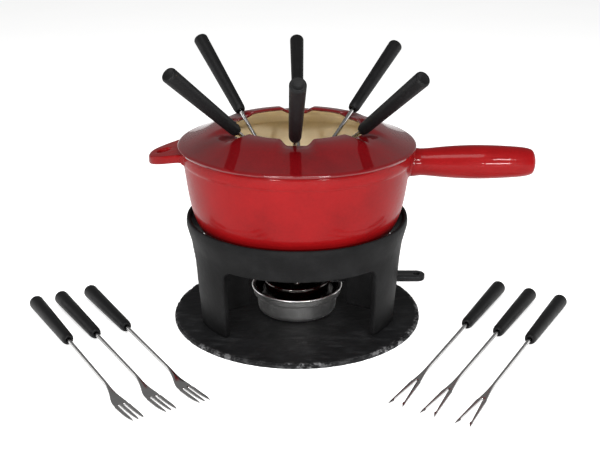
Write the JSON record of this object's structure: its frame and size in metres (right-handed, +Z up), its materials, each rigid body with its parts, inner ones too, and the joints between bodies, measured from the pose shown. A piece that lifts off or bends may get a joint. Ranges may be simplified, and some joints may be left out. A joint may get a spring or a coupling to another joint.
{
  "type": "fondue pot set",
  "caption": "Round enamelled cast-iron fondue pot with a splash guard on a three-legged stand over a burner and a slate base, with long forks.",
  "frame": {"origin": "centre of the slate base's underside, on the common axis of the stand, pot and guard", "axes": "+Z up, +X towards the pot's handle, -Y towards the front, the side the six loose forks point to"},
  "size_m": [0.5557, 0.384, 0.2752],
  "materials": {
    "slate": "natural cleft slate, dark and matt, with pale chipped edges",
    "black_cast_iron": "matt black coated sand casting",
    "red_enamel": "glossy red enamel outside, cream enamel inside",
    "red_enamel_guard": "glossy red enamel on top, cream enamel below",
    "polished_steel": "polished stainless steel",
    "steel_gauze": "woven steel gauze, modelled as a thin disc",
    "burner_wool": "absorbent mineral wool pad",
    "black_plastic": "black heat-resistant plastic",
    "fork_plastic": "satin black plastic",
    "fork_steel": "polished stainless steel"
  },
  "bodies": {
    "slate": {"slate_base": "slate"},
    "stand": {"stand_casting": "black_cast_iron"},
    "pot": {"pot_casting": "red_enamel"},
    "guard": {"splash_guard": "red_enamel_guard"},
    "burner": {"burner_cup": "polished_steel", "burner_wool": "burner_wool", "burner_gauze": "steel_gauze"},
    "burner_top": {"burner_cover": "polished_steel"},
    "snuffer": {"burner_cap": "polished_steel", "burner_cap_stud": "polished_steel", "burner_handle": "black_plastic", "burner_handle_bracket": "polished_steel", "burner_handle_rivet_1": "polished_steel", "burner_handle_rivet_2": "polished_steel"},
    "fork_standing_front": {"fork_standing_front_handle": "fork_plastic", "fork_standing_front_steel": "fork_steel"},
    "fork_standing_front_left": {"fork_standing_front_left_handle": "fork_plastic", "fork_standing_front_left_steel": "fork_steel"},
    "fork_standing_front_right": {"fork_standing_front_right_handle": "fork_plastic", "fork_standing_front_right_steel": "fork_steel"},
    "fork_standing_back_left": {"fork_standing_back_left_handle": "fork_plastic", "fork_standing_back_left_steel": "fork_steel"},
    "fork_standing_back_right": {"fork_standing_back_right_handle": "fork_plastic", "fork_standing_back_right_steel": "fork_steel"},
    "fork_standing_back": {"fork_standing_back_handle": "fork_plastic", "fork_standing_back_steel": "fork_steel"},
    "fork_lying_left_outer": {"fork_lying_left_outer_handle": "fork_plastic", "fork_lying_left_outer_steel": "fork_steel"},
    "fork_lying_left_middle": {"fork_lying_left_middle_handle": "fork_plastic", "fork_lying_left_middle_steel": "fork_steel"},
    "fork_lying_left_inner": {"fork_lying_left_inner_handle": "fork_plastic", "fork_lying_left_inner_steel": "fork_steel"},
    "fork_lying_right_inner": {"fork_lying_right_inner_handle": "fork_plastic", "fork_lying_right_inner_steel": "fork_steel"},
    "fork_lying_right_middle": {"fork_lying_right_middle_handle": "fork_plastic", "fork_lying_right_middle_steel": "fork_steel"},
    "fork_lying_right_outer": {"fork_lying_right_outer_handle": "fork_plastic", "fork_lying_right_outer_steel": "fork_steel"}
  },
  "joints": [
    {"name": "stand_lift", "type": "slide", "parent": "slate", "child": "stand", "axis": [0, 0, 1], "range_m": [0, 0.06]},
    {"name": "pot_lift", "type": "slide", "parent": "stand", "child": "pot", "axis": [0, 0, 1], "range_m": [0, 0.1]},
    {"name": "guard_lift", "type": "slide", "parent": "pot", "child": "guard", "axis": [0, 0, 1], "range_m": [0, 0.1]},
    {"name": "burner_slide_out", "type": "slide", "parent": "slate", "child": "burner", "axis": [0.8453, 0.5344, 0], "range_m": [0, 0.16]},
    {"name": "burner_top_lift", "type": "slide", "parent": "burner", "child": "burner_top", "axis": [0, 0, 1], "range_m": [0, 0.025]},
    {"name": "snuffer_turn", "type": "hinge", "parent": "burner_top", "child": "snuffer", "pos_m": [0, 0, 0.0335], "axis": [0, 0, 1], "range_deg": [-6, 65]},
    {"name": "fork_standing_front_draw", "type": "slide", "parent": "guard", "child": "fork_standing_front", "axis": [-0.0079, -0.7306, 0.6828], "range_m": [0, 0.175]},
    {"name": "fork_standing_front_left_draw", "type": "slide", "parent": "guard", "child": "fork_standing_front_left", "axis": [-0.5018, -0.4712, 0.7254], "range_m": [0, 0.175]},
    {"name": "fork_standing_front_right_draw", "type": "slide", "parent": "guard", "child": "fork_standing_front_right", "axis": [0.471, -0.6012, 0.6455], "range_m": [0, 0.175]},
    {"name": "fork_standing_back_left_draw", "type": "slide", "parent": "guard", "child": "fork_standing_back_left", "axis": [-0.4634, 0.6239, 0.6293], "range_m": [0, 0.175]},
    {"name": "fork_standing_back_right_draw", "type": "slide", "parent": "guard", "child": "fork_standing_back_right", "axis": [0.4711, 0.6881, 0.5519], "range_m": [0, 0.175]},
    {"name": "fork_standing_back_draw", "type": "slide", "parent": "guard", "child": "fork_standing_back", "axis": [0.0598, 0.8033, 0.5925], "range_m": [0, 0.175]},
    {"name": "fork_lying_left_outer_lift", "type": "slide", "parent": "slate", "child": "fork_lying_left_outer", "axis": [0, 0, 1], "range_m": [0, 0.08]},
    {"name": "fork_lying_left_middle_lift", "type": "slide", "parent": "slate", "child": "fork_lying_left_middle", "axis": [0, 0, 1], "range_m": [0, 0.08]},
    {"name": "fork_lying_left_inner_lift", "type": "slide", "parent": "slate", "child": "fork_lying_left_inner", "axis": [0, 0, 1], "range_m": [0, 0.08]},
    {"name": "fork_lying_right_inner_lift", "type": "slide", "parent": "slate", "child": "fork_lying_right_inner", "axis": [0, 0, 1], "range_m": [0, 0.08]},
    {"name": "fork_lying_right_middle_lift", "type": "slide", "parent": "slate", "child": "fork_lying_right_middle", "axis": [0, 0, 1], "range_m": [0, 0.08]},
    {"name": "fork_lying_right_outer_lift", "type": "slide", "parent": "slate", "child": "fork_lying_right_outer", "axis": [0, 0, 1], "range_m": [0, 0.08]}
  ]
}
